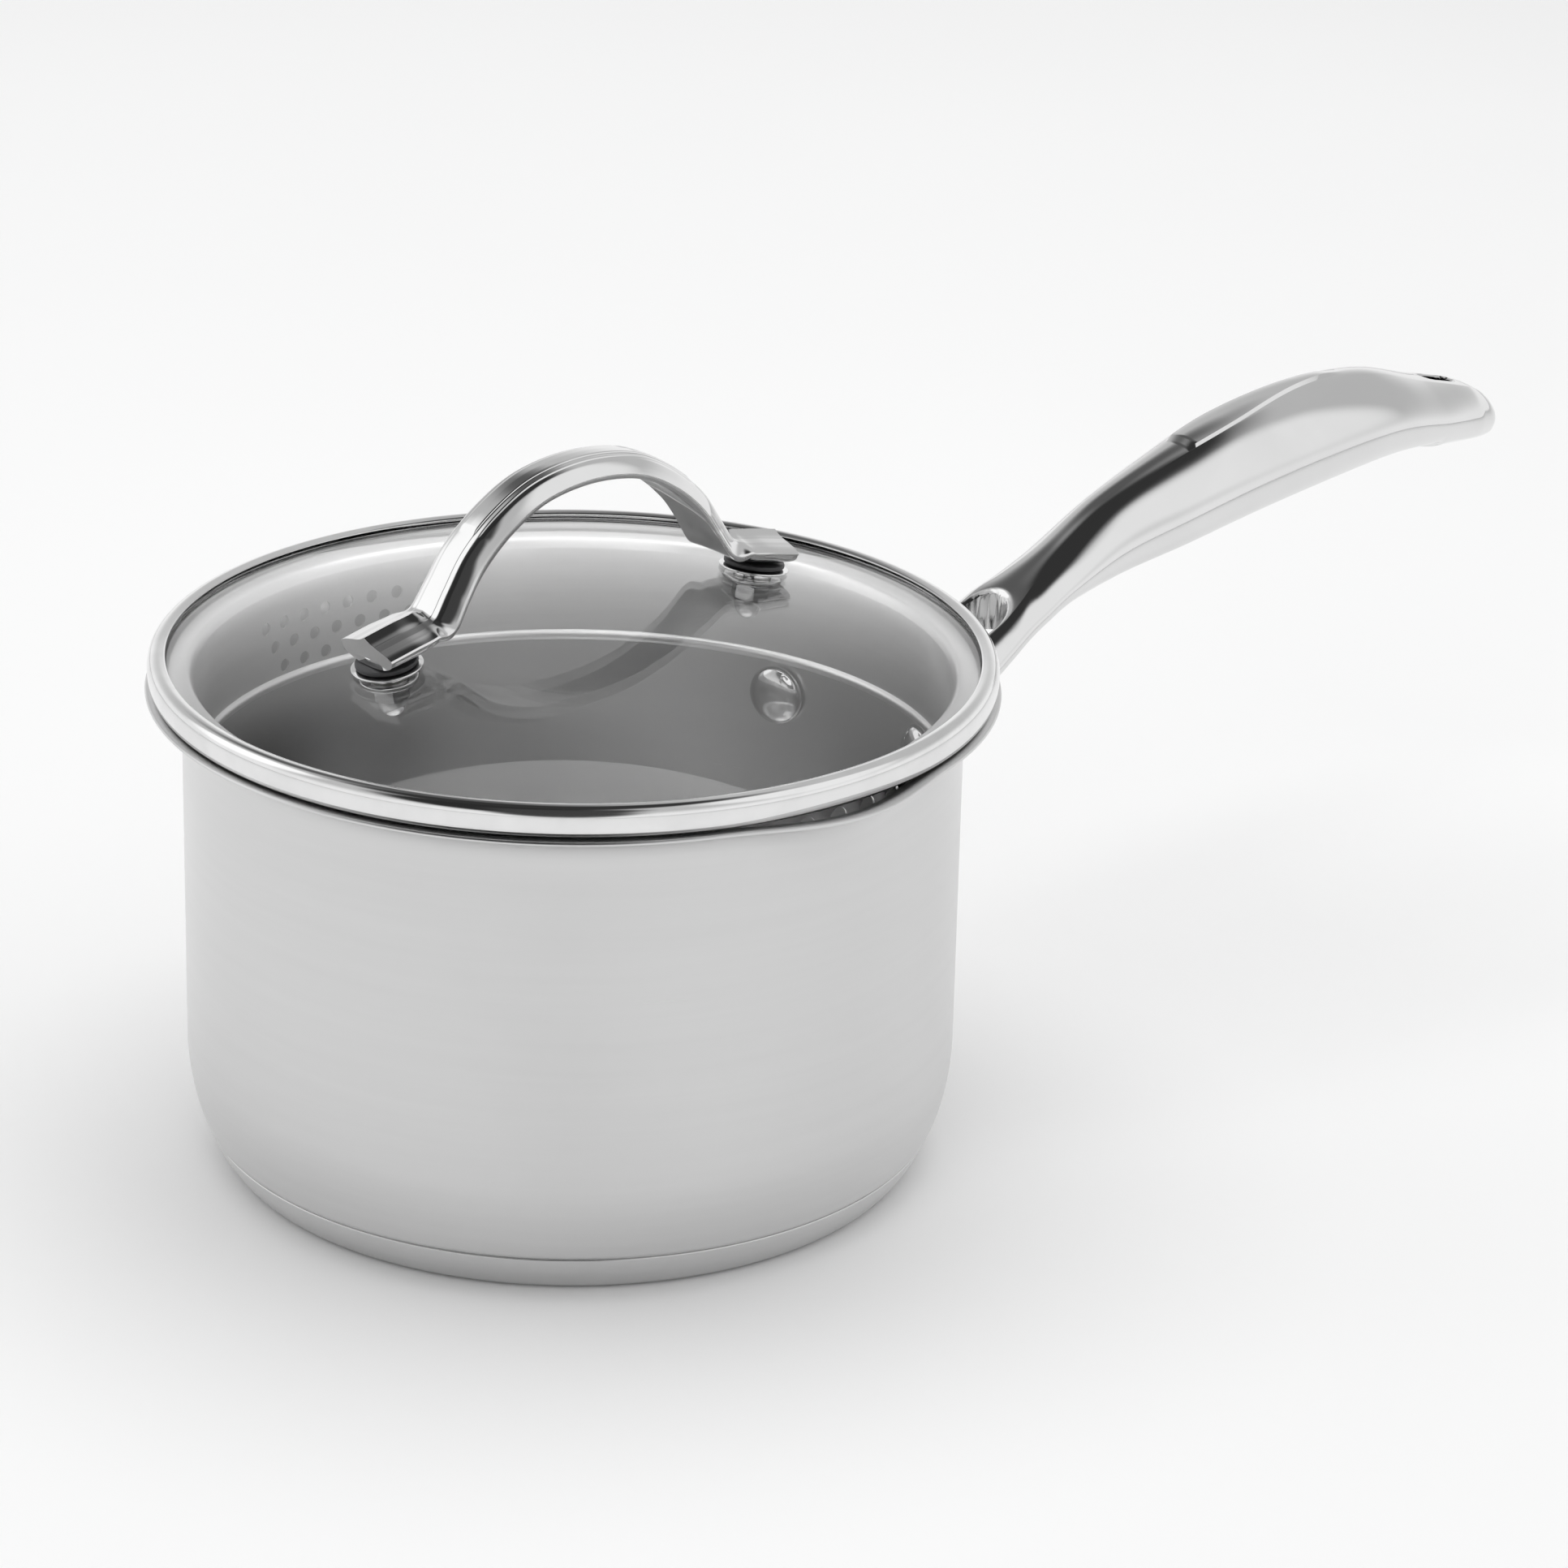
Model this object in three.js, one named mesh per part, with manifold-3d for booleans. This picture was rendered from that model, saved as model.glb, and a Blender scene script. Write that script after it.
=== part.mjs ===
// A 16 cm stainless saucepan with two pouring lips, a riveted cast handle and a glass straining lid.
// Millimetres, +Z up. The origin is on the pan's axis in the plane it stands on.
// The handle points along +X.
import * as THREE from 'three';
import { mergeVertices } from 'three/addons/utils/BufferGeometryUtils.js';
import Module from 'manifold-3d';

const wasm = await Module();
wasm.setup();

// Driving dimensions

const gap = 0.3;                  // clearance kept between touching pieces
const roundSegments = 48;         // facets round the pan and the lid
const smallSegments = 16;         // facets round studs, rivets and washers
const holeFacets = 6;             // facets round each straining hole

const wallRadius = 81;            // outside of the pan's wall
const sheet = 0.9;                // thickness of the pan's wall
const floorUnder = 5.6;           // height of the pan's floor, underside
const cornerTop = 27;             // height at which the bottom corner runs out into the wall
const cornerWidth = 13.5;
const seamHeight = 9.3;           // where the capsule base's edge meets the pan
const rimRadius = 88.5;
const rimTop = 104.1;
const capSheet = 0.6;

const lipPush = 2.8;              // how far a pouring lip stands out past the rim
const lipDrop = 0.8;
const lipHalfAngle = 20;          // degrees either side of a lip's middle
const lipStart = 84;              // height at which a lip starts to leave the wall
const lipAngles = [90, -90];

const glassCrown = 121.6;         // top of the glass at its middle
const glassFall = 0.00165;        // the crown falls by this times the radius squared
const glassThickness = 3.6;
const glassRadius = 86.3;

const skirtRadius = 78.4;         // outside of the strainer skirt
const skirtSheet = 0.5;
const skirtTop = 105.7;
const hemHeight = 84.6;
const hemRadius = 1.2;
const smallHoles = { middle: 90, radius: 1.4, pitch: 4.6, rows: [[97.2, 9], [92.5, 8], [87.8, 7]] };
const largeHoles = { middle: -90, radius: 2.5, pitch: 6.2, rows: [[97.3, 6], [90.4, 5]] };

const footReach = 48.3;           // from the lid's axis to each fixing of the lid handle
const glassHole = 4.1;            // radius of each hole through the glass
const studRadius = 2;
const stud = { top: 5.6, bottom: -9 };
const seat = { radius: 7.4, height: 0.5 };
const gasket = { radius: 6.5, height: 1 };
const underWasher = { radius: 6, height: 1 };
const nut = { across: 7, hexHeight: 3.2, domeHeight: 4 };

const rivetAngle = 17;            // degrees either side of the handle
const rivetHeight = 75.5;
const rivetHead = { radius: 6.5, height: 2.7 };
const shankRadius = 2.6;
const flangeThickness = 3.7;
const flangeHeight = 15;
const flangeReach = 37;           // half the flange's width, measured across

// x along the handle, height of the section's middle, its height and its width
const handleStations = [
  [77, 75.5, 14.8, 30], [86, 76.05, 14.3, 29.4], [96, 79.35, 12.7, 28], [107, 84.25, 10.7, 25.8],
  [120, 91.35, 9.7, 22.6], [135, 97.95, 11.9, 19.7], [150, 103.25, 17.7, 20.6], [168, 107.85, 21.5, 25.2],
  [188, 112.4, 23.2, 29.1], [210, 115.75, 23.7, 31], [232, 116.35, 20.9, 30], [250, 113.8, 15.9, 27],
  [262, 111.9, 14, 23], [266.5, 110.9, 12.9, 20.2], [271.2, 109.4, 10.4, 16],
  [274.2, 108.5, 7.2, 10.6], [275.4, 108, 3, 4.6],
];
const handleFullness = 2.1;       // 2 gives elliptical sections, more gives squarer ones
const strapFullness = 3.2;
const vent = { from: 87.5, to: 120.6, halfWidth: 6.2 };
const hangingHole = { x: 257.8, length: 10.5, width: 5.2 };

// x and z of the strap's middle from the crown of the lid handle to a foot, its thickness and its width
const archStations = [
  [0, 151.1, 4.9, 13], [12.5, 149.4, 4.9, 13], [22, 144.6, 5, 13], [29.5, 138.2, 5, 13.2],
  [34.4, 131.5, 4.6, 13.8], [38, 126.2, 4.6, 15], [41.5, 124.6, 4.4, 16.4],
  [47, 123.6, 4.2, 17], [53.6, 122.4, 3.6, 17],
];
const footBoss = { top: 5.4, bottom: 4.6, height: 3.6 };

// Solids

const steel = (roughness) => ({ color: 0xc9cacb, roughness, metalness: 1 });
const finishes = {
  polished: steel(0.14),
  satin: steel(0.3),
  aluminium: { color: 0xb6b8ba, roughness: 0.5, metalness: 1 },
  glass: { color: 0xe8eeee, roughness: 0.04, metalness: 0, transparent: true, opacity: 0.3 },
  silicone: { color: 0x2b2b2c, roughness: 0.6, metalness: 0 },
  nylon: { color: 0xd9d8d2, roughness: 0.5, metalness: 0 },
};

const radians = THREE.MathUtils.degToRad;

// A closed geometry, with its shared vertices merged and its faces turned outwards, as a manifold solid.
function solid(geometry) {
  for (const name of Object.keys(geometry.attributes)) {
    if (name !== 'position') geometry.deleteAttribute(name);
  }
  const merged = mergeVertices(geometry, 1e-3);
  const position = merged.attributes.position;
  const corners = [new THREE.Vector3(), new THREE.Vector3(), new THREE.Vector3()];
  const triangles = [];
  let volume = 0;
  for (let i = 0; i < merged.index.count; i += 3) {
    const [a, b, c] = [0, 1, 2].map((k) => merged.index.getX(i + k));
    if (a === b || b === c || c === a) continue;
    triangles.push([a, b, c]);
    [a, b, c].forEach((vertex, k) => corners[k].fromBufferAttribute(position, vertex));
    volume += corners[0].dot(corners[1].clone().cross(corners[2]));
  }
  const facing = volume > 0 ? triangles : triangles.map(([a, b, c]) => [a, c, b]);
  return new wasm.Manifold(new wasm.Mesh({
    numProp: 3,
    vertProperties: new Float32Array(position.array),
    triVerts: new Uint32Array(facing.flat()),
  }));
}

function geometryOf(body) {
  const mesh = body.getMesh();
  const geometry = new THREE.BufferGeometry();
  geometry.setAttribute('position', new THREE.BufferAttribute(new Float32Array(mesh.vertProperties), 3));
  geometry.setIndex(new THREE.BufferAttribute(new Uint32Array(mesh.triVerts), 1));
  geometry.computeVertexNormals();
  return geometry;
}

const part = new THREE.Group();

function add(name, body, finish, parent = part) {
  const mesh = new THREE.Mesh(geometryOf(body), new THREE.MeshStandardMaterial(finishes[finish]));
  mesh.name = name;
  parent.add(mesh);
}

// A profile of [radius, height] pairs turned about +Z; it starts and ends on the axis or closes on itself.
function turned(profile, segments = roundSegments) {
  const points = profile.map(([radius, height]) => new THREE.Vector2(radius, height));
  return new THREE.LatheGeometry(points, segments).rotateX(Math.PI / 2);
}

function closedProfile(profile) {
  return [...profile, profile[0]];
}

function disc(radius, low, high, segments = smallSegments) {
  return turned([[0, low], [radius, low], [radius, high], [0, high]], segments);
}

function washer(inner, outer, low, high, segments = smallSegments) {
  return turned(closedProfile([[inner, low], [outer, low], [outer, high], [inner, high]]), segments);
}

// An outline in one plane, pushed through from one height to another.
function slab(shape, low, high) {
  return new THREE.ExtrudeGeometry(shape, { depth: high - low, bevelEnabled: false, curveSegments: 8 })
    .translate(0, 0, low);
}

// A slot with round ends, its length along X.
function slotShape(length, width) {
  const half = (length - width) / 2;
  const shape = new THREE.Shape();
  shape.absarc(half, 0, width / 2, -Math.PI / 2, Math.PI / 2);
  shape.absarc(-half, 0, width / 2, Math.PI / 2, 3 * Math.PI / 2);
  return shape;
}

// A bar lofted along X through superellipse sections: place() puts each point of a section in the part.
function loft(stations, ringSegments, steps, fullness, place) {
  const curves = [[0, 1], [2, 3]].map(([first, second]) => new THREE.CatmullRomCurve3(
    stations.map((station) => new THREE.Vector3(station[first], station[second], 0)), false, 'catmullrom', 0.5));
  const geometry = new THREE.CylinderGeometry(1, 1, 1, ringSegments, steps);
  const position = geometry.attributes.position;
  const swell = (value) => Math.sign(value) * Math.abs(value) ** (2 / fullness);
  for (let i = 0; i < position.count; i++) {
    const along = THREE.MathUtils.clamp(position.getY(i) + 0.5, 0, 1);
    const middle = curves[0].getPoint(along);
    const size = curves[1].getPoint(along);
    const up = swell(position.getX(i)) * size.x / 2;
    const across = swell(position.getZ(i)) * size.y / 2;
    position.setXYZ(i, ...place(middle, curves[0].getTangent(along), up, across));
  }
  return geometry;
}

// Pan

const cornerSteps = 5;
const corner = Array.from({ length: cornerSteps + 1 }, (_, i) => {
  const height = THREE.MathUtils.lerp(seamHeight, cornerTop, i / cornerSteps);
  const drop = (cornerTop - height) / cornerTop;
  return [wallRadius - cornerWidth * (1 - Math.sqrt(1 - drop * drop)), height];
});
const seamRadius = corner[0][0];

// Outside of the pan, from its middle to the rim
const panOutside = [
  [0, floorUnder], [70.5, floorUnder], [73.4, floorUnder + 0.5], [seamRadius - 1.5, floorUnder + 2.4],
  ...corner,
  [wallRadius, 60], [wallRadius, 84], [wallRadius, 94], [81.4, 97.6], [82.6, 100.5], [84.4, 102.3],
  [86.4, 103.1], [rimRadius, rimTop - sheet],
];
// Inside of the pan, from the rim back to its middle
const panInside = [
  [rimRadius, rimTop], [85.9, rimTop - 0.1], [83.7, 103.1], [81.8, 101.1], [80.6, 98],
  [wallRadius - sheet, 94], [wallRadius - sheet, 84], [wallRadius - sheet, 60],
  ...corner.slice(1).reverse().map(([radius, height]) => [radius - sheet, height]),
  [seamRadius - sheet - 0.2, seamHeight + 0.6], [seamRadius - 2.8, floorUnder + 2.6],
  [72.8, floorUnder + sheet + 0.5], [69.9, floorUnder + sheet], [0, floorUnder + sheet],
];

// Draws the wall out and down into a pouring lip on each side.
function drawLips(geometry) {
  const position = geometry.attributes.position;
  for (let i = 0; i < position.count; i++) {
    const [x, y, z] = [position.getX(i), position.getY(i), position.getZ(i)];
    const angle = THREE.MathUtils.radToDeg(Math.atan2(y, x));
    const rise = THREE.MathUtils.smoothstep(z, lipStart, rimTop);
    for (const middle of lipAngles) {
      const turn = Math.abs(angle - middle) / lipHalfAngle;
      if (turn >= 1 || rise === 0) continue;
      const share = rise * (1 + Math.cos(Math.PI * turn)) / 2;
      const grown = 1 + lipPush * share / Math.hypot(x, y);
      position.setXYZ(i, x * grown, y * grown, z - lipDrop * share);
    }
  }
  return geometry;
}

// Turns a piece made about +Z so that it lies along a radius of the pan, at a height.
function alongRadius(geometry, angle, height) {
  return geometry.rotateY(Math.PI / 2).rotateZ(radians(angle)).translate(0, 0, height);
}

const rivetAngles = { left: rivetAngle, right: -rivetAngle };

let panBody = solid(drawLips(turned([...panOutside, ...panInside])));
for (const angle of Object.values(rivetAngles)) {
  panBody = panBody.subtract(solid(alongRadius(disc(shankRadius + gap, 70, 90), angle, rivetHeight)));
}
add('pan_body', panBody, 'satin');

add('base_core', solid(turned([
  [0, 0.9], [70.4, 0.9], [72.2, 1.7], [73.4, 3.2], [74.4, 5.2], [73.5, 5.6], [70.6, floorUnder - gap],
  [0, floorUnder - gap],
])), 'aluminium');

add('base_cap', solid(turned([
  [0, 0], [70.8, 0], [72.6, 0.7], [74, 2.4], [75.5, 4.6], [76.6, 6.8], [77.25, 8.55], [76.7, 8.1], [76.05, 7],
  [74.95, 4.9], [73.5, 2.8], [72.2, 1.15], [70.7, capSheet], [0, capSheet],
])), 'satin');

const flangeInner = wallRadius + gap;
const flangeOuter = flangeInner + flangeThickness;
const flangeBlank = slab(slotShape(2 * flangeReach, flangeHeight), 60, 100)
  .rotateZ(Math.PI / 2).rotateY(Math.PI / 2).translate(0, 0, rivetHeight);
const flangeRing = closedProfile([[flangeInner, 60], [flangeOuter, 60], [flangeOuter, 92], [flangeInner, 92]]);
const handleBar = loft(handleStations, 16, 28, handleFullness, (middle, tangent, up, across) => (
  [middle.x, across, middle.y + up]));
const ventLength = vent.to - vent.from;
const ventCut = slab(slotShape(ventLength, 2 * vent.halfWidth), 60, 110)
  .translate((vent.from + vent.to) / 2, 0, 0);
const hangingCut = slab(slotShape(hangingHole.length, hangingHole.width), 90, 130)
  .translate(hangingHole.x, 0, 0);

let handle = solid(handleBar).subtract(solid(disc(flangeInner, 50, 120, roundSegments)))
  .add(solid(turned(flangeRing)).intersect(solid(flangeBlank)))
  .subtract(solid(ventCut))
  .subtract(solid(hangingCut));
for (const angle of Object.values(rivetAngles)) {
  handle = handle.subtract(solid(alongRadius(disc(shankRadius + gap, 70, 100), angle, rivetHeight)));
}
add('pan_handle', handle, 'polished');

// A domed head: [radius, height] pairs from its edge to its crown.
function dome({ radius, height }, steps = 4) {
  return Array.from({ length: steps + 1 }, (_, i) => {
    const angle = i / steps * Math.PI / 2;
    return [radius * Math.cos(angle), height * Math.sin(angle)];
  });
}

// A rivet with a domed head inside the pan, a shank through the wall and flange, and a domed head outside.
const innerFace = wallRadius - sheet - 2 * gap;
const outerFace = flangeOuter + gap;
const headEdge = 0.5;
const rivetProfile = [
  ...dome(rivetHead).reverse().map(([radius, height]) => [radius, innerFace - headEdge - height]),
  [rivetHead.radius, innerFace], [shankRadius, innerFace],
  [shankRadius, outerFace], [rivetHead.radius, outerFace],
  ...dome(rivetHead).map(([radius, height]) => [radius, outerFace + headEdge + height]),
];
for (const [side, angle] of Object.entries(rivetAngles)) {
  const rivet = turned(rivetProfile, smallSegments);
  add(`handle_rivet_${side}`, solid(alongRadius(rivet, angle, rivetHeight)), 'polished');
}

// Lid

add('lid_rim_ring', solid(turned(closedProfile([
  [84.3, 104.4], [86.2, 104.4], [87.3, 105.1], [87.9, 106.8], [87.9, 109.1], [87.2, 110.6], [85.9, 111.2],
  [84.5, 110.9], [84.2, 110.5], [85.6, 110.5], [86.8, 109.9], [87.3, 108.9], [87.3, 107], [86.8, 105.5],
  [86, 104.9], [84.3, 104.9],
]))), 'polished');

// Fixings of the lid handle: each lies square to the glass, under one foot.
const glassTop = (radius) => glassCrown - glassFall * radius * radius;
const footTilt = Math.atan(2 * glassFall * footReach);

function footFrame(side) {
  const frame = new THREE.Group();
  frame.position.set(side * footReach, 0, glassTop(footReach));
  frame.rotation.y = side * footTilt;
  frame.updateMatrix();
  return frame;
}

const feet = { near: footFrame(1), far: footFrame(-1) };

const glassSteps = 5;
const glassRing = Array.from({ length: glassSteps + 1 }, (_, i) => 85 * i / glassSteps);
let glass = solid(turned([
  ...glassRing.map((radius) => [radius, glassTop(radius) - glassThickness]),
  [glassRadius - 0.5, 106.5], [glassRadius, 107.2], [glassRadius, 108.6], [glassRadius - 0.4, 109.2],
  ...glassRing.map((radius) => [radius, glassTop(radius)]).reverse(),
]));
for (const foot of Object.values(feet)) {
  glass = glass.subtract(solid(disc(glassHole, -10, 10).applyMatrix4(foot.matrix)));
}
add('lid_glass', glass, 'glass');

// Strainer skirt: a flange clamped under the glass, a perforated wall and a rolled hem.
const hemMiddle = skirtRadius - skirtSheet / 2;
const hemSteps = 6;
const hem = Array.from({ length: hemSteps + 1 }, (_, i) => {
  const angle = radians(78 - i * 336 / hemSteps);
  return [hemMiddle + hemRadius * Math.cos(angle), hemHeight + hemRadius * Math.sin(angle)];
});
let skirt = solid(turned(closedProfile([
  [84.6, skirtTop - skirtSheet], [80.4, skirtTop - skirtSheet], [79.1, skirtTop - 1],
  [skirtRadius, skirtTop - 2.2],
  ...hem,
  [skirtRadius - skirtSheet, skirtTop - 2], [skirtRadius + 0.3, skirtTop - 0.5],
  [80.1, skirtTop], [84.6, skirtTop],
])));
for (const { middle, radius, pitch, rows } of [smallHoles, largeHoles]) {
  for (const [height, count] of rows) {
    for (let i = 0; i < count; i++) {
      const angle = middle + (i - (count - 1) / 2) * pitch;
      skirt = skirt.subtract(solid(alongRadius(disc(radius, 70, 90, holeFacets), angle, height)));
    }
  }
}
add('lid_strainer_skirt', skirt, 'satin');

const [crown, ...sideStations] = archStations;
const wholeArch = [...sideStations.map(([x, ...rest]) => [-x, ...rest]).reverse(), crown, ...sideStations];
const archBar = loft(wholeArch, 12, 32, strapFullness, (middle, tangent, up, across) => (
  [middle.x - tangent.y * up, across, middle.y + tangent.x * up]));

// Heights of the fixings, measured along the fixing from the top of the glass
const seatTop = gap + seat.height;
const gasketTop = seatTop + gap + gasket.height;
const bossBottom = gasketTop + gap;
const underWasherTop = -glassThickness - gap;
const nutTop = underWasherTop - underWasher.height - gap;

let lidHandle = solid(archBar);
for (const foot of Object.values(feet)) {
  const boss = turned([
    [0, bossBottom], [footBoss.bottom, bossBottom], [footBoss.top, bossBottom + footBoss.height],
    [0, bossBottom + footBoss.height],
  ], 24);
  const blindHole = disc(studRadius + gap, 0, stud.top + gap);
  lidHandle = lidHandle.add(solid(boss.applyMatrix4(foot.matrix)))
    .subtract(solid(blindHole.applyMatrix4(foot.matrix)));
}
add('lid_handle', lidHandle, 'polished');

// A cap nut: a hexagon with a domed end and a blind bore.
function capNut() {
  const hexagon = turned([[0, nutTop - nut.hexHeight], [nut.across / Math.sqrt(3), nutTop - nut.hexHeight],
    [nut.across / Math.sqrt(3), nutTop], [0, nutTop]], 6);
  const cap = turned([
    [0, nutTop - 1],
    ...dome({ radius: nut.across / 2 - 0.3, height: nut.domeHeight })
      .map(([radius, height]) => [radius, nutTop - nut.hexHeight - height]),
  ], 18);
  return solid(hexagon).add(solid(cap)).subtract(solid(disc(studRadius + gap, stud.bottom - gap, nutTop + 1)));
}

for (const [name, foot] of Object.entries(feet)) {
  part.add(foot);
  add(`handle_seat_${name}`, solid(washer(studRadius + gap, seat.radius, gap, seatTop)), 'polished', foot);
  add(`handle_gasket_${name}`, solid(washer(studRadius + gap, gasket.radius, seatTop + gap, gasketTop)), 'silicone',
    foot);
  add(`handle_stud_${name}`, solid(disc(studRadius, stud.bottom, stud.top)), 'polished', foot);
  add(`glass_bush_${name}`, solid(washer(studRadius + gap, glassHole - gap, -glassThickness + 0.2, -0.2)), 'nylon',
    foot);
  add(`under_washer_${name}`, solid(washer(studRadius + gap, underWasher.radius,
    underWasherTop - underWasher.height, underWasherTop)), 'satin', foot);
  add(`cap_nut_${name}`, capNut(), 'polished', foot);
}

export default part;
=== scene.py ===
# A 16 cm stainless saucepan with a riveted cast handle and a glass straining lid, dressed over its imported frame.
import bpy
import bmesh
import math
from mathutils import Matrix, Vector


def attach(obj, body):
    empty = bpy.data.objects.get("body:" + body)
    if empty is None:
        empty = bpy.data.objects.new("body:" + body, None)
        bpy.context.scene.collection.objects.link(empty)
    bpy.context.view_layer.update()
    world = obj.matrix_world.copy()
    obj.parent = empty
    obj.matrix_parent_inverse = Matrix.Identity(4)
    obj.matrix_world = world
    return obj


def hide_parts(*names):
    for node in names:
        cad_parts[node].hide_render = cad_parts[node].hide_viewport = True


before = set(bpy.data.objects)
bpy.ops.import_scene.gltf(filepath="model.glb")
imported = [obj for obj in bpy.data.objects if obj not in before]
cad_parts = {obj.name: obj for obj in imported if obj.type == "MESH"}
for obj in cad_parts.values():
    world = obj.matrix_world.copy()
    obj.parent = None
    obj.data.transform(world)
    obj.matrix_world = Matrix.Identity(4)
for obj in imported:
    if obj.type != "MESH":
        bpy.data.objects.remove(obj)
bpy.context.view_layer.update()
mm = 0.001
print("frame loaded:", len(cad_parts), "nodes")


# small tools

def mix(a, b, share):
    return a + (b - a) * share


def ease(value, low, high):
    share = min(max((value - low) / (high - low), 0), 1)
    return share * share * (3 - 2 * share)


def curved(points, steps):
    # a smooth line through points of any number of values
    line = []
    for i in range(len(points) - 1):
        before, start, end, after = (points[max(min(k, len(points) - 1), 0)] for k in range(i - 1, i + 3))
        for step in range(steps):
            t = step / steps
            line.append(tuple(
                0.5 * (2 * b + (c - a) * t + (2 * a - 5 * b + 4 * c - d) * t * t + (3 * b - a - 3 * c + d) * t ** 3)
                for a, b, c, d in zip(before, start, end, after)))
    return line + [tuple(points[-1])]


def arc(middle, radius, start, end, steps):
    angles = [math.radians(mix(start, end, i / steps)) for i in range(steps + 1)]
    return [(middle[0] + radius * math.cos(a), middle[1] + radius * math.sin(a)) for a in angles]


def shadeEdges(mesh, crease=38):
    shape = bmesh.new()
    shape.from_mesh(mesh)
    bmesh.ops.remove_doubles(shape, verts=shape.verts, dist=1e-7)
    bmesh.ops.recalc_face_normals(shape, faces=shape.faces)
    for face in shape.faces:
        face.smooth = True
    for edge in shape.edges:
        edge.smooth = len(edge.link_faces) == 2 and edge.calc_face_angle(0) < math.radians(crease)
    shape.to_mesh(mesh)
    shape.free()


def makeObject(name, points, faces, finishes=None, crease=38):
    # points in millimetres
    mesh = bpy.data.meshes.new(name)
    mesh.from_pydata([[value * mm for value in point] for point in points], [], faces)
    if finishes:
        mesh.polygons.foreach_set("material_index", finishes)
    shadeEdges(mesh, crease)
    made = bpy.data.objects.new(name, mesh)
    bpy.context.scene.collection.objects.link(made)
    return made


def turnedShape(name, profile, segments=192, change=None, secondFinish=None, closed=False, crease=38):
    # a profile of radius and height pairs turned about the upright axis
    points, rings = [], []
    for radius, height in profile:
        count = 1 if radius < 1e-6 else segments
        rings.append([len(points) + i for i in range(count)])
        for i in range(count):
            angle = 2 * math.pi * i / segments
            point = (radius * math.cos(angle), radius * math.sin(angle), height)
            points.append(change(*point) if change else point)
    faces, finishes = [], []
    last = len(rings) if closed else len(rings) - 1
    for k in range(last):
        low, high = rings[k], rings[(k + 1) % len(rings)]
        for i in range(segments):
            j = (i + 1) % segments
            if len(low) == 1 and len(high) == 1:
                break
            if len(low) == 1:
                faces.append((low[0], high[i], high[j]))
            elif len(high) == 1:
                faces.append((low[i], low[j], high[0]))
            else:
                faces.append((low[i], low[j], high[j], high[i]))
            finishes.append(1 if secondFinish and secondFinish(k) else 0)
    return makeObject(name, points, faces, finishes, crease)


def loftedShape(name, sections, crease=38):
    # closed rings of the same number of points, joined in order, with both ends capped
    points = [point for section in sections for point in section]
    count = len(sections[0])
    faces = []
    for k in range(len(sections) - 1):
        for i in range(count):
            j = (i + 1) % count
            faces.append((k * count + i, k * count + j, (k + 1) * count + j, (k + 1) * count + i))
    faces.append(tuple(range(count))[::-1])
    faces.append(tuple((len(sections) - 1) * count + i for i in range(count)))
    return makeObject(name, points, faces, crease=crease)


def settle(made, crease=38):
    # the evaluated mesh takes the place of the modifiers
    graph = bpy.context.evaluated_depsgraph_get()
    mesh = bpy.data.meshes.new_from_object(made.evaluated_get(graph))
    made.modifiers.clear()
    made.data = mesh
    shadeEdges(mesh, crease)


def carve(made, tool, operation="DIFFERENCE", crease=38):
    change = made.modifiers.new("carve", "BOOLEAN")
    change.operation = operation
    change.solver = "EXACT"
    change.object = tool
    settle(made, crease)
    bpy.data.objects.remove(tool)


def place(made, matrix):
    made.data.transform(matrix)
    return made


def slotPrism(name, middle, length, width, low, high, steps=28):
    half = (length - width) / 2
    outline = arc((middle + half, 0), width / 2, -90, 90, steps) + arc((middle - half, 0), width / 2, 90, 270, steps)
    return loftedShape(name, [[(x, y, height) for x, y in outline] for height in (low, high)])


def finishPiece(made, body, nodes, slot, *materials):
    made.data.materials.clear()
    for material in materials:
        made.data.materials.append(material)
    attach(made, body)
    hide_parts(*nodes)


# camera and light

cameraLook = {"place": (-0.6865, -0.8477, 0.5226), "turn": -41.31, "tilt": 67.98, "roll": 1.407, "lens": 129.4}


def addCamera(look):
    eye = bpy.data.objects.new("camera", bpy.data.cameras.new("camera"))
    bpy.context.scene.collection.objects.link(eye)
    eye.data.lens = look["lens"]
    eye.data.sensor_width = 36
    eye.data.clip_start = 0.01
    turned = Matrix.Rotation(math.radians(look["turn"]), 4, "Z") @ Matrix.Rotation(math.radians(look["tilt"]), 4, "X")
    rolled = turned @ Matrix.Rotation(math.radians(look["roll"]), 4, "Z")
    eye.matrix_world = Matrix.Translation(look["place"]) @ rolled
    bpy.context.scene.camera = eye


addCamera(cameraLook)


def addNode(tree, kind, inputs=None, **settings):
    node = tree.nodes.new(kind)
    for name, value in settings.items():
        setattr(node, name, value)
    for socket, value in (inputs or {}).items():
        if isinstance(value, bpy.types.NodeSocket):
            tree.links.new(value, node.inputs[socket])
        else:
            node.inputs[socket].default_value = value
    return node


def mathNode(tree, operation, *values):
    return addNode(tree, "ShaderNodeMath", dict(enumerate(values)), operation=operation).outputs[0]


roomLight = {
    "low": 1.0, "high": 0.6,
    # direction of each patch of the studio, its inner and outer half-angle, and its brightness
    "patches": [
        ((0.22, 0.62, 0.75), 6, 20, 0.12), ((-0.05, 0.05, 1.0), 20, 35, 0.04), ((-0.60, -0.30, 0.72), 21, 33, 0.03),
        ((-0.62, -0.70, 0.34), 12, 23, 0.06), ((-0.50, -0.57, 0.66), 12, 22, 0.06),
        ((-0.50, 0.70, 0.50), 14, 24, 1.3), ((0.45, -0.62, 0.65), 18, 30, 1.0),
    ],
    # name, place, size, power; they light the floor and aren't mirrored
    "lights": [("topBox", (0.2, 0.3, 2.0), 2.4, 25), ("leftBox", (-1.2, -1.0, 1.6), 1.6, 8)],
}


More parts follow.
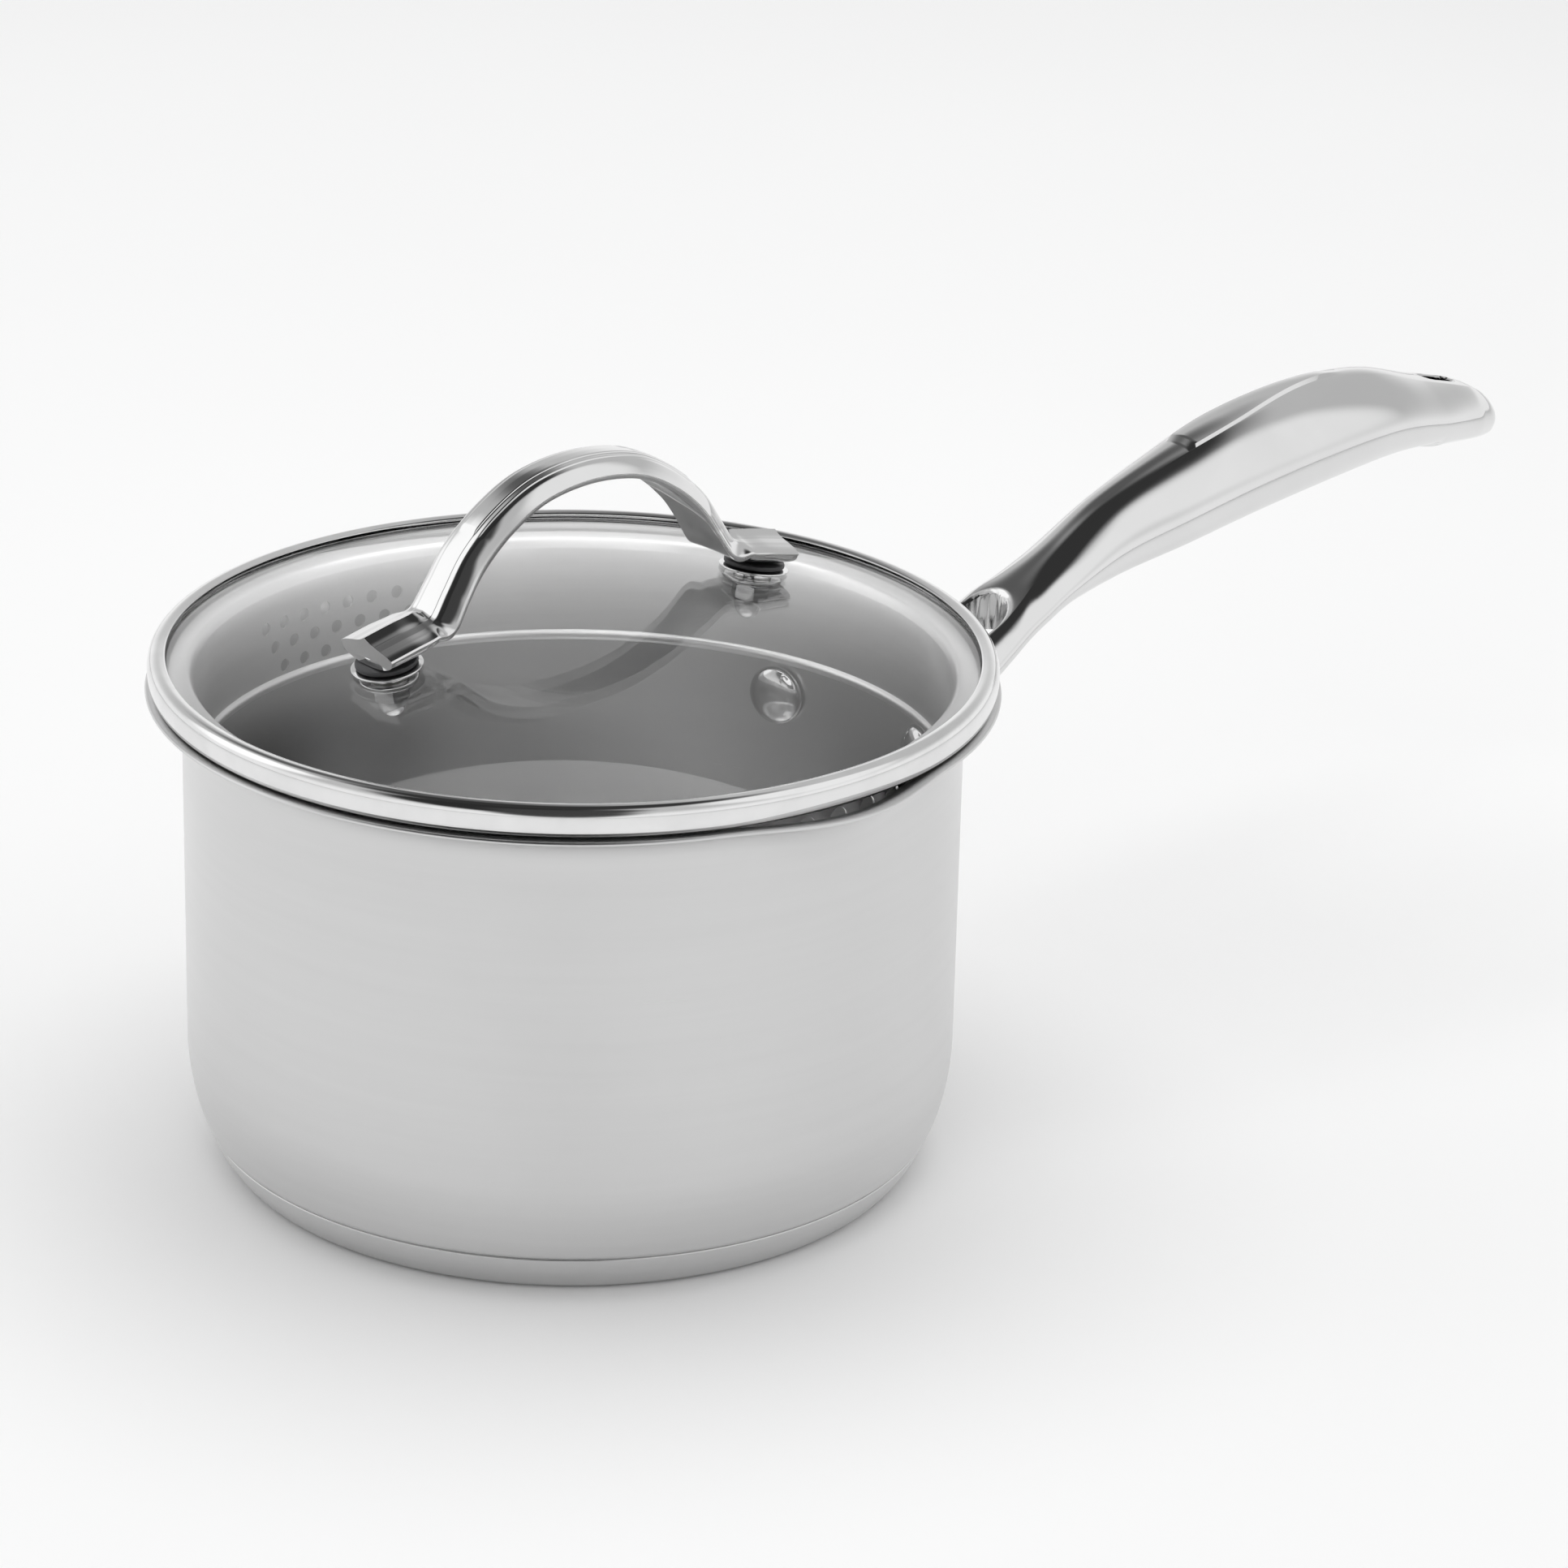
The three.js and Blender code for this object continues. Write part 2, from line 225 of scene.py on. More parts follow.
def lightRoom(look):
    world = bpy.data.worlds.new("studio")
    bpy.context.scene.world = world
    world.use_nodes = True
    tree = world.node_tree
    background = tree.nodes["Background"]
    direction = addNode(tree, "ShaderNodeTexCoord").outputs["Generated"]
    height = addNode(tree, "ShaderNodeSeparateXYZ", {0: direction}).outputs[2]
    brightness = addNode(tree, "ShaderNodeMapRange", {
        "Value": height, "From Min": 0.12, "From Max": 0.5, "To Min": look["low"], "To Max": look["high"]},
        interpolation_type="SMOOTHSTEP").outputs["Result"]
    for aim, inner, outer, level in look["patches"]:
        along = addNode(tree, "ShaderNodeVectorMath", {0: direction, 1: Vector(aim).normalized()},
                        operation="DOT_PRODUCT").outputs["Value"]
        share = addNode(tree, "ShaderNodeMapRange", {
            "Value": along, "From Min": math.cos(math.radians(outer)), "From Max": math.cos(math.radians(inner))},
            interpolation_type="SMOOTHSTEP").outputs["Result"]
        brightness = addNode(tree, "ShaderNodeMix", {"Factor": share, "A": brightness, "B": level}).outputs["Result"]
    tree.links.new(brightness, background.inputs["Strength"])
    background.inputs["Color"].default_value = (1, 1, 1, 1)
    for name, where, size, power in look["lights"]:
        lamp = bpy.data.lights.new(name, "AREA")
        lamp.shape = "DISK"
        lamp.size = size
        lamp.energy = power
        lampObject = bpy.data.objects.new(name, lamp)
        bpy.context.scene.collection.objects.link(lampObject)
        lampObject.location = where
        lampObject.visible_glossy = False
        lampObject.rotation_euler = (Vector((0, 0, 0.06)) - Vector(where)).to_track_quat("-Z", "Y").to_euler()
    bpy.context.scene.view_settings.view_transform = "Standard"


lightRoom(roomLight)
print("camera and light set")


# shader groups used by more than one material

def newGroup(name, inputs, outputs):
    group = bpy.data.node_groups.new(name, "ShaderNodeTree")
    for label, kind, value in inputs:
        socket = group.interface.new_socket(name=label, in_out="INPUT", socket_type=kind)
        if value is not None:
            socket.default_value = value
    for label, kind in outputs:
        group.interface.new_socket(name=label, in_out="OUTPUT", socket_type=kind)
    return group, group.nodes.new("NodeGroupInput"), group.nodes.new("NodeGroupOutput")


def turnedGrainGroup():
    # fine lines left by an abrasive held against a spinning piece
    group, entry, leave = newGroup(
        "turnedGrain",
        [("Vector", "NodeSocketVector", None), ("Around", "NodeSocketFloat", 30.0),
         ("Across", "NodeSocketFloat", 4000.0)],
        [("Grain", "NodeSocketFloat"), ("Streaks", "NodeSocketFloat")])
    split = addNode(group, "ShaderNodeSeparateXYZ", {0: entry.outputs["Vector"]})
    flat = addNode(group, "ShaderNodeCombineXYZ", {0: split.outputs[0], 1: split.outputs[1]})
    radius = addNode(group, "ShaderNodeVectorMath", {0: flat.outputs[0]}, operation="LENGTH").outputs["Value"]
    track = mathNode(group, "ADD", radius, split.outputs[2])
    for label, share in (("Grain", 1.0), ("Streaks", 0.13)):
        position = addNode(group, "ShaderNodeCombineXYZ", {
            0: mathNode(group, "MULTIPLY", split.outputs[0], entry.outputs["Around"]),
            1: mathNode(group, "MULTIPLY", split.outputs[1], entry.outputs["Around"]),
            2: mathNode(group, "MULTIPLY", track, mathNode(group, "MULTIPLY", entry.outputs["Across"], share))})
        noise = addNode(group, "ShaderNodeTexNoise", {"Vector": position.outputs[0], "Scale": 1.0, "Detail": 3.0,
                                                     "Roughness": 0.6})
        group.links.new(noise.outputs["Fac"], leave.inputs[label])
    return group


def handlingGroup():
    # soft smudges and fine scuffs from cooking and washing
    group, entry, leave = newGroup(
        "handlingMarks",
        [("Vector", "NodeSocketVector", None), ("Clean", "NodeSocketFloat", 0.1), ("Worn", "NodeSocketFloat", 0.2),
         ("Scale", "NodeSocketFloat", 40.0)],
        [("Roughness", "NodeSocketFloat"), ("Smudge", "NodeSocketFloat"), ("Waves", "NodeSocketFloat")])
    smudge = addNode(group, "ShaderNodeTexNoise", {"Vector": entry.outputs["Vector"], "Scale": entry.outputs["Scale"],
                                                  "Detail": 5.0, "Roughness": 0.55, "Distortion": 0.4})
    mask = addNode(group, "ShaderNodeMapRange", {"Value": smudge.outputs["Fac"], "From Min": 0.42, "From Max": 0.72,
                                                "To Min": 0.0, "To Max": 1.0})
    rough = addNode(group, "ShaderNodeMapRange", {"Value": mask.outputs["Result"], "From Min": 0.0, "From Max": 1.0,
                                                 "To Min": entry.outputs["Clean"], "To Max": entry.outputs["Worn"]})
    waves = addNode(group, "ShaderNodeTexNoise", {"Vector": entry.outputs["Vector"], "Scale": 90.0, "Detail": 1.0})
    group.links.new(rough.outputs["Result"], leave.inputs["Roughness"])
    group.links.new(mask.outputs["Result"], leave.inputs["Smudge"])
    group.links.new(waves.outputs["Fac"], leave.inputs["Waves"])
    return group


turnedGrain = turnedGrainGroup()
handlingMarks = handlingGroup()


def newMaterial(name):
    material = bpy.data.materials.new(name)
    material.use_nodes = True
    tree = material.node_tree
    return material, tree, tree.nodes["Principled BSDF"], addNode(tree, "ShaderNodeTexCoord").outputs["Object"]


def placeGroup(tree, group, inputs):
    node = tree.nodes.new("ShaderNodeGroup")
    node.node_tree = group
    for socket, value in inputs.items():
        if isinstance(value, bpy.types.NodeSocket):
            tree.links.new(value, node.inputs[socket])
        else:
            node.inputs[socket].default_value = value
    return node


def grainedMetal(name, look):
    # metal finished while it turned: satin or brushed
    material, tree, shader, position = newMaterial(name)
    grain = placeGroup(tree, turnedGrain, {"Vector": position, "Around": look["around"], "Across": look["across"]})
    marks = placeGroup(tree, handlingMarks, {"Vector": position, "Clean": look["roughness"][0],
                                             "Worn": look["roughness"][1], "Scale": look["smudge"]})
    tint = addNode(tree, "ShaderNodeMapRange", {"Value": grain.outputs["Streaks"], "From Min": 0.3, "From Max": 0.7,
                                                "To Min": look["tone"][0], "To Max": look["tone"][1]})
    tree.links.new(tint.outputs["Result"], shader.inputs["Base Color"])
    shader.inputs["Metallic"].default_value = 1
    rough = mathNode(tree, "ADD", marks.outputs["Roughness"],
                     mathNode(tree, "MULTIPLY", grain.outputs["Grain"], look["grainRoughness"]))
    tree.links.new(rough, shader.inputs["Roughness"])
    bump = addNode(tree, "ShaderNodeBump", {"Strength": look["bump"], "Distance": look["depth"],
                                            "Height": grain.outputs["Grain"]})
    tree.links.new(bump.outputs[0], shader.inputs["Normal"])
    shader.inputs["Anisotropic"].default_value = look["drawn"]
    shader.inputs["Anisotropic Rotation"].default_value = 0.25
    tangent = addNode(tree, "ShaderNodeTangent", direction_type="RADIAL", axis="Z")
    tree.links.new(tangent.outputs[0], shader.inputs["Tangent"])
    return material


def polishedMetal(name, look):
    material, tree, shader, position = newMaterial(name)
    marks = placeGroup(tree, handlingMarks, {"Vector": position, "Clean": look["roughness"][0],
                                             "Worn": look["roughness"][1], "Scale": look["smudge"]})
    tint = addNode(tree, "ShaderNodeMapRange", {"Value": marks.outputs["Smudge"], "To Min": look["tone"][0],
                                                "To Max": look["tone"][1]})
    tree.links.new(tint.outputs["Result"], shader.inputs["Base Color"])
    shader.inputs["Metallic"].default_value = 1
    tree.links.new(marks.outputs["Roughness"], shader.inputs["Roughness"])
    bump = addNode(tree, "ShaderNodeBump", {"Strength": look["bump"], "Distance": look["depth"],
                                            "Height": marks.outputs["Waves"]})
    tree.links.new(bump.outputs[0], shader.inputs["Normal"])
    return material


def clearGlass(name, look):
    material, tree, shader, position = newMaterial(name)
    marks = placeGroup(tree, handlingMarks, {"Vector": position, "Clean": 0.0, "Worn": look["haze"],
                                             "Scale": look["smudge"]})
    tint = addNode(tree, "ShaderNodeMix", {"Factor": marks.outputs["Smudge"], "A": look["tint"], "B": look["dull"]},
                   data_type="RGBA")
    tree.links.new(tint.outputs["Result"], shader.inputs["Base Color"])
    tree.links.new(marks.outputs["Roughness"], shader.inputs["Roughness"])
    shader.inputs["IOR"].default_value = look["ior"]
    shader.inputs["Metallic"].default_value = 0
    shader.inputs["Transmission Weight"].default_value = 1
    return material


def mouldedPlastic(name, look):
    material, tree, shader, position = newMaterial(name)
    marks = placeGroup(tree, handlingMarks, {"Vector": position, "Clean": look["roughness"][0],
                                             "Worn": look["roughness"][1], "Scale": look["smudge"]})
    tint = addNode(tree, "ShaderNodeMix", {"Factor": marks.outputs["Smudge"], "A": look["colour"], "B": look["worn"]},
                   data_type="RGBA")
    tree.links.new(tint.outputs["Result"], shader.inputs["Base Color"])
    tree.links.new(marks.outputs["Roughness"], shader.inputs["Roughness"])
    bump = addNode(tree, "ShaderNodeBump", {"Strength": 0.2, "Distance": 0.0001, "Height": marks.outputs["Waves"]})
    tree.links.new(bump.outputs[0], shader.inputs["Normal"])
    return material


satinWall = grainedMetal("satinWall", {
    "drawn": 0.55, "around": 12, "across": 2600, "tone": (0.65, 0.665), "roughness": (0.26, 0.31),
    "grainRoughness": 0.05,
    "bump": 0.05, "depth": 0.00003, "smudge": 14})
brushedInside = grainedMetal("brushedInside", {
    "drawn": 0.95, "around": 16, "across": 2200, "tone": (0.84, 0.93), "roughness": (0.42, 0.48),
    "grainRoughness": 0.08,
    "bump": 0.16, "depth": 0.00005, "smudge": 16})
brushedSkirt = grainedMetal("brushedSkirt", {
    "drawn": 0.75, "around": 18, "across": 2600, "tone": (0.90, 0.96), "roughness": (0.28, 0.34),
    "grainRoughness": 0.08,
    "bump": 0.12, "depth": 0.00005, "smudge": 18})
spunAluminium = grainedMetal("spunAluminium", {
    "drawn": 0.5, "around": 20, "across": 1800, "tone": (0.60, 0.68), "roughness": (0.42, 0.5),
    "grainRoughness": 0.08,
    "bump": 0.2, "depth": 0.00006, "smudge": 20})
polishedCast = polishedMetal("polishedCast", {
    "tone": (0.75, 0.71), "roughness": (0.06, 0.12), "bump": 0.06, "depth": 0.0002, "smudge": 30})
polishedSmall = polishedMetal("polishedSmall", {
    "tone": (0.80, 0.74), "roughness": (0.08, 0.16), "bump": 0.04, "depth": 0.0001, "smudge": 90})
lidGlass = clearGlass("lidGlass", {
    "tint": (0.992, 0.992, 0.992, 1), "dull": (0.975, 0.975, 0.975, 1), "haze": 0.02, "smudge": 22, "ior": 1.46})
darkSilicone = mouldedPlastic("darkSilicone", {
    "colour": (0.03, 0.03, 0.032, 1), "worn": (0.06, 0.06, 0.062, 1), "roughness": (0.38, 0.52), "smudge": 120})
clearNylon = mouldedPlastic("clearNylon", {
    "colour": (0.72, 0.71, 0.66, 1), "worn": (0.66, 0.65, 0.60, 1), "roughness": (0.35, 0.5), "smudge": 150})
print("materials made")


# the pan

pan = {
    "wallRadius": 81, "sheet": 0.9, "floorUnder": 5.6, "cornerTop": 27, "cornerWidth": 13.5, "seamHeight": 9.3,
    "rimRadius": 88.5, "rimTop": 104.1,
    "lipPush": 2.8, "lipDrop": 0.8, "lipHalfAngle": 20, "lipStart": 84, "lipAngles": (90, -90),
    "rivetAngle": 17, "rivetHeight": 75.5, "shankHole": 2.9,
    "segments": 288,
}


def cornerRadius(height):
    drop = (pan["cornerTop"] - height) / pan["cornerTop"]
    return pan["wallRadius"] - pan["cornerWidth"] * (1 - math.sqrt(1 - drop * drop))


def drawLips(x, y, z):
    # the wall is drawn out and down into a pouring lip on each side
    angle = math.degrees(math.atan2(y, x))
    rise = ease(z, pan["lipStart"], pan["rimTop"])
    for middle in pan["lipAngles"]:
        turn = abs(angle - middle) / pan["lipHalfAngle"]
        if turn < 1 and rise > 0:
            share = rise * (1 + math.cos(math.pi * turn)) / 2
            grown = 1 + pan["lipPush"] * share / math.hypot(x, y)
            x, y, z = x * grown, y * grown, z - pan["lipDrop"] * share
    return x, y, z


def alongRadius(angle, height):
    # turns a piece made on the upright axis to lie along a radius of the pan
    return (Matrix.Translation((0, 0, height * mm)) @ Matrix.Rotation(math.radians(angle), 4, "Z")
            @ Matrix.Rotation(math.pi / 2, 4, "Y"))


def makePan():
    wall, sheet, under, seam = pan["wallRadius"], pan["sheet"], pan["floorUnder"], pan["seamHeight"]
    rim, top = pan["rimRadius"], pan["rimTop"]
    seamRadius = cornerRadius(seam)
    corner = [(cornerRadius(mix(seam, pan["cornerTop"], i / 26)), mix(seam, pan["cornerTop"], i / 26))
              for i in range(27)]
    straight = [(wall, z) for z in (34, 42, 50, 58, 66, 74, 80, 84, 86, 88, 90, 92)]
    outside = ([(0, under)] + curved([(69, under), (70.5, under), (73.4, under + 0.5),
                                      (seamRadius - 1.5, under + 2.4),
                                      (seamRadius, seam)], 5)[:-1] + corner + straight
               + curved([(wall, 94), (81.4, 97.6), (82.6, 100.5), (84.4, 102.3), (86.4, 103.1),
                         (rim - sheet / 2, top - sheet)], 5))
    edge = arc((rim - sheet / 2, top - sheet / 2), sheet / 2, -90, 90, 8)[1:-1]
    inner = curved([(rim - sheet / 2, top), (85.9, top - 0.1), (83.7, 103.1), (81.8, 101.1), (80.6, 98),
                    (wall - sheet, 94)], 5)
    inside = (inner + [(r - sheet, z) for r, z in reversed(straight)]
              + [(r - sheet, z) for r, z in reversed(corner[2:])]
              + curved([(seamRadius - sheet - 0.2, seam + 0.6), (seamRadius - 2.8, under + 2.6),
                        (72.8, under + sheet + 0.5), (69.9, under + sheet), (68, under + sheet)], 5)
              + [(45, under + sheet), (20, under + sheet), (0, under + sheet)])
    profile = outside + edge + inside
    turnover = len(outside) + len(edge) // 2
    body = turnedShape("panBody", profile, pan["segments"], drawLips, lambda k: k >= turnover)
    for side in (1, -1):
        hole = turnedShape("hole", [(0, 70), (pan["shankHole"], 70), (pan["shankHole"], 90), (0, 90)], 32)
        carve(body, place(hole, alongRadius(side * pan["rivetAngle"], pan["rivetHeight"])))
    finishPiece(body, "pan", ["pan_body"], "satin_steel", satinWall, brushedInside)

    cap = ([(0, 0)] + curved([(70.6, 0), (72.4, 0.6), (74, 2.4), (75.5, 4.6), (76.6, 6.8), (77.2, 8.35)], 6)
           + arc((76.98, 8.4), 0.22, 0, 160, 6)
           + curved([(76.6, 8.0), (76.0, 7), (74.95, 4.9), (73.5, 2.8), (72.2, 1.15), (70.7, 0.6), (68, 0.6)], 6)
           + [(0, 0.6)])
    base = turnedShape("baseCap", cap, pan["segments"])
    finishPiece(base, "pan", ["base_cap"], "satin_steel", satinWall)


makePan()
print("pan made")


# the pan handle

panHandle = {
    # distance along the handle, height of its top edge, half width of its crowned top, overall width,
    # height of the widest line and of the underside
    "stations": [
        (77, 82.9, 7.4, 37, 75.4, 68.1), (82, 82.95, 7.4, 36, 75.45, 68.2), (85, 83.1, 7.4, 34.2, 75.6, 68.6),
        (87, 83.3, 7.4, 31.6, 75.8, 69.2), (90, 83.9, 7.3, 29.8, 76.4, 70.4), (96, 85.7, 7.2, 28, 78.2, 73),
        (107, 89.6, 7.1, 25.8, 82.7, 78.9), (114, 92.7, 7.0, 24, 86.4, 82.7), (120, 96.2, 6.3, 22.6, 89.8, 86.5),
        (126, 99.2, 4.6, 21.2, 92.6, 89), (135, 103.9, 3.3, 19.7, 96.4, 92), (150, 112.1, 3.1, 20.6, 101.6, 94.4),
        (168, 118.6, 3.4, 25.2, 106.2, 97.1), (188, 124, 4.6, 29.1, 110.6, 100.8),
        (210, 127.6, 3.6, 31, 113.8, 103.9),
        (232, 126.9, 3.2, 30, 115, 106), (250, 122, 4, 27, 112.6, 105.9), (262, 118.8, 4.8, 23, 110.6, 104.9),
        (266.5, 117.2, 4.6, 20.2, 109.8, 104.4), (271.2, 114.5, 3.6, 16, 108.8, 104.2),
        (274.2, 112, 2.2, 10.6, 108.3, 104.9), (275.4, 109.4, 0.9, 4.6, 108, 106.5)],
    "fullness": 2.3, "flank": 1.7, "flankStart": 0.35, "crown": 0.5,
    "panel": {"from": 174.5, "to": 226, "rise": 0.7},
    "facet": {"angle": -32, "flatness": 0.62},
    "tipStep": {"at": 249, "drop": 0.9},
    "vent": {"from": 87.5, "to": 120.6, "halfWidth": 6.2, "round": 1.0},
    "hanging": {"x": 257.8, "length": 10.5, "width": 5.2, "round": 0.8},
    "flange": {"inner": 81.3, "thickness": 3.7, "height": 15, "reach": 37, "round": 1.1},
}


def slotDistance(x, y, low, high, halfWidth):
    # how far a point lies outside a slot with round ends; negative inside it
    near = min(max(x, low + halfWidth), high - halfWidth)
    return math.hypot(x - near, y) - halfWidth


def roundOver(distance, radius):
    # how far a surface sinks where it rounds over into a hole
    reach = radius - min(max(distance, 0), radius)
    return radius - math.sqrt(max(radius * radius - reach * reach, 0))


def handleStations():
    stations = []
    smooth = curved(panHandle["stations"], 40)
    position = smooth[0][0]
    for station in smooth:
        x = station[0]
        if x < position - 1e-9:
            continue
        stations.append(station)
        fine = 85 < x < 124 or 248 < x < 266 or 173 < x < 178
        position = x + (0.5 if fine else 1.2 if x < 268 else 0.35)
    return stations + [smooth[-1]]


def handleSection(x, top, topHalf, width, widest, under, upper, side, lower):
    power, flank = panHandle["fullness"], panHandle["flank"]
    panel, facet, step = panHandle["panel"], panHandle["facet"], panHandle["tipStep"]
    vent, hanging = panHandle["vent"], panHandle["hanging"]
    raised = panel["rise"] * ease(x, panel["from"], panel["from"] + 0.7)
    share = min(max((x - panel["from"]) / (panel["to"] - panel["from"]), 0), 1)
    edge = mix(topHalf, 0.5, share ** 1.6) if x < panel["to"] else mix(0.5, topHalf, ease(x, panel["to"], 242))
    raised *= 1 - ease(x, panel["to"] - 9, panel["to"])
    half = [(edge * i / upper, top - panelCrown(edge * i / upper, topHalf) + raised) for i in range(upper + 1)]
    for i in range(1, 6):
        y = mix(edge + 0.35, max(topHalf, edge + 0.4), i / 5)
        half.append((y, top - panelCrown(y, topHalf)))
    shoulder = half[-1][1]
    beginAngle = math.asin(panHandle["flankStart"] ** (flank / 2))
    beginY, reach = half[-1][0], width / 2 - half[-1][0]
    for i in range(1, side + 1):
        a = mix(beginAngle, math.pi / 2, (i / side) ** 1.25)
        u, v = math.sin(a) ** (2 / flank), max(math.cos(a), 0) ** (2 / flank)
        half.append((beginY + reach * (u - panHandle["flankStart"]) / (1 - panHandle["flankStart"]),
                     widest + (shoulder - widest) * v / math.cos(beginAngle) ** (2 / flank)))
    corner = math.radians(facet["angle"])
    cornerY, cornerZ = math.cos(corner) ** (2 / power), -abs(math.sin(corner)) ** (2 / power)
    for i in range(1, 2 * lower + 1):
        a = mix(0, corner, i / lower) if i <= lower else mix(corner, -math.pi / 2, (i - lower) / lower)
        across, up = abs(math.cos(a)) ** (2 / power), -abs(math.sin(a)) ** (2 / power)
        if i > lower:
            along = min((cornerY - across) / cornerY / 0.75, 1)
            up = mix(up, mix(cornerZ, -1, along), facet["flatness"])
        drop = step["drop"] * ease(x, step["at"], step["at"] + 0.8) * ease(-up, 0.35, 0.8)
        half.append((across * width / 2, widest + up * (widest - under) - drop))
    rounded = []
    for y, z in half:
        for low, high, halfWidth, radius in (
                (vent["from"], vent["to"], vent["halfWidth"], vent["round"]),
                (hanging["x"] - hanging["length"] / 2, hanging["x"] + hanging["length"] / 2, hanging["width"] / 2,
                 hanging["round"])):
            sink = roundOver(slotDistance(x, y, low, high, halfWidth), radius)
            z -= math.copysign(sink, z - widest) if y < width * 0.42 else 0
        rounded.append((y, z))
    return [(x, y, z) for y, z in rounded] + [(x, -y, z) for y, z in reversed(rounded[1:-1])]


def panelCrown(y, topHalf):
    return panHandle["crown"] * min(y / max(topHalf, 0.5), 1.5) ** 2


def flangeSections():
    flange = panHandle["flange"]
    halfHeight, middleRadius = flange["height"] / 2, flange["inner"] + flange["thickness"] / 2
    straight = flange["reach"] - halfHeight
    sections = []
    for i in range(101):
        share = -math.cos(math.pi * i / 100)
        across = share * flange["reach"] * 0.9995
        past = max(abs(across) - straight, 0)
        reach = math.sqrt(max(halfHeight ** 2 - past ** 2, 0.0004))
        turn = across / middleRadius
        outer, inner = [], []
        for j in range(21):
            up = -math.cos(math.pi * j / 20) * reach
            edge = halfHeight - math.hypot(past, up)
            radius = flange["inner"] + flange["thickness"] - roundOver(edge, flange["round"])
            outer.append((radius * math.cos(turn), radius * math.sin(turn), pan["rivetHeight"] + up))
            bore = flange["inner"]
            inner.append((bore * math.cos(turn), bore * math.sin(turn), pan["rivetHeight"] + up))
        sections.append(outer + inner[::-1])
    return sections


def makePanHandle():
    bar = loftedShape("panHandle", [handleSection(*station, 10, 26, 10) for station in handleStations()])
    bore = panHandle["flange"]["inner"]
    carve(bar, turnedShape("bore", [(0, 50), (bore, 50), (bore, 120), (0, 120)], 256))
    carve(bar, loftedShape("flange", flangeSections()), "UNION")
    vent, hanging = panHandle["vent"], panHandle["hanging"]
    carve(bar, slotPrism("vent", (vent["from"] + vent["to"]) / 2, vent["to"] - vent["from"], 2 * vent["halfWidth"],
                         60, 110))
    carve(bar, slotPrism("hanging", hanging["x"], hanging["length"], hanging["width"], 90, 130))
    for side in (1, -1):
        hole = turnedShape("hole", [(0, 70), (pan["shankHole"], 70), (pan["shankHole"], 100), (0, 100)], 32)
        carve(bar, place(hole, alongRadius(side * pan["rivetAngle"], pan["rivetHeight"])))
    finishPiece(bar, "pan", ["pan_handle"], "polished_steel", polishedCast)


makePanHandle()
print("pan handle made")

rivet = {"radius": 6.5, "height": 2.7, "edge": 0.5, "shank": 2.6, "innerFace": 79.5, "outerFace": 85.3}


def makeRivets():
    radius, height, edge = rivet["radius"], rivet["height"], rivet["edge"]

    def head(face, way):
        # a flat underside, a thin turned edge and a dome
        rim = [(radius - 0.35, face), (radius - 0.1, face + way * 0.1), (radius, face + way * 0.35)]
        crown = [(radius * math.cos(a), face + way * (edge + height * math.sin(a)))
                 for a in (math.radians(mix(6, 90, i / 18)) for i in range(19))]
        return rim + crown[:-1] + [(0, crown[-1][1])]

    inner, outer = head(rivet["innerFace"], -1), head(rivet["outerFace"], 1)
    profile = inner[::-1] + [(rivet["shank"], rivet["innerFace"]), (rivet["shank"], rivet["outerFace"])] + outer
    for side, node in ((1, "handle_rivet_left"), (-1, "handle_rivet_right")):
        made = turnedShape("rivetLeft" if side > 0 else "rivetRight", profile, 72)
        place(made, alongRadius(side * pan["rivetAngle"], pan["rivetHeight"]))
        finishPiece(made, "pan", [node], "polished_steel", polishedSmall)


makeRivets()
print("rivets made")


# the lid

lid = {
    "crown": 121.6, "fall": 0.00165, "thickness": 3.6, "radius": 86.3, "footReach": 48.3, "hole": 4.1,
    "segments": 240,
}


def glassTop(radius):
    return lid["crown"] - lid["fall"] * radius * radius


def footMatrix(side):
    # a frame square to the glass under one foot of the lid handle
    tilt = math.atan(2 * lid["fall"] * lid["footReach"])
    return (Matrix.Translation((side * lid["footReach"] * mm, 0, glassTop(lid["footReach"]) * mm))
            @ Matrix.Rotation(side * tilt, 4, "Y"))


def makeRing():
    profile = (curved([(84.3, 104.4), (86.2, 104.4), (87.3, 105.1), (87.9, 106.8), (87.9, 109.1), (87.2, 110.6),
                       (85.9, 111.2), (84.5, 110.95)], 6)
               + [(84.25, 110.75), (84.3, 110.55)]
               + curved([(84.5, 110.5), (85.6, 110.5), (86.8, 109.9), (87.3, 108.9), (87.3, 107), (86.8, 105.5),
                         (86, 104.9), (84.3, 104.9)], 5))
    ring = turnedShape("lidRing", profile, 288, closed=True)
    finishPiece(ring, "lid_ring", ["lid_rim_ring"], "polished_steel", polishedSmall)


def makeGlass():
    radii = [85 * i / 34 for i in range(35)]
    under = [(r, glassTop(r) - lid["thickness"]) for r in radii]
    top = [(r, glassTop(r)) for r in reversed(radii)]
    edge = curved([(85.4, 106.25), (85.9, 106.55), (lid["radius"], 107.2), (lid["radius"], 108.6), (85.9, 109.25),
                   (85.4, 109.55)], 4)
    glass = turnedShape("lidGlass", under + edge + top, lid["segments"])
    for side in (1, -1):
        hole = turnedShape("hole", [(0, -10), (lid["hole"], -10), (lid["hole"], 10), (0, 10)], 64)
        carve(glass, place(hole, footMatrix(side)))
    finishPiece(glass, "lid", ["lid_glass"], "glass", lidGlass)


makeRing()
makeGlass()
print("ring and glass made")

strainer = {
    "radius": 78.4, "sheet": 0.5, "top": 105.7, "hemHeight": 84.6, "hemRadius": 1.2,
    "small": {"middle": 90, "radius": 1.4, "pitch": 4.6, "rows": [(97.2, 9), (92.5, 8), (87.8, 7)]},
    "large": {"middle": -90, "radius": 2.5, "pitch": 6.2, "rows": [(97.3, 6), (90.4, 5)]},
}


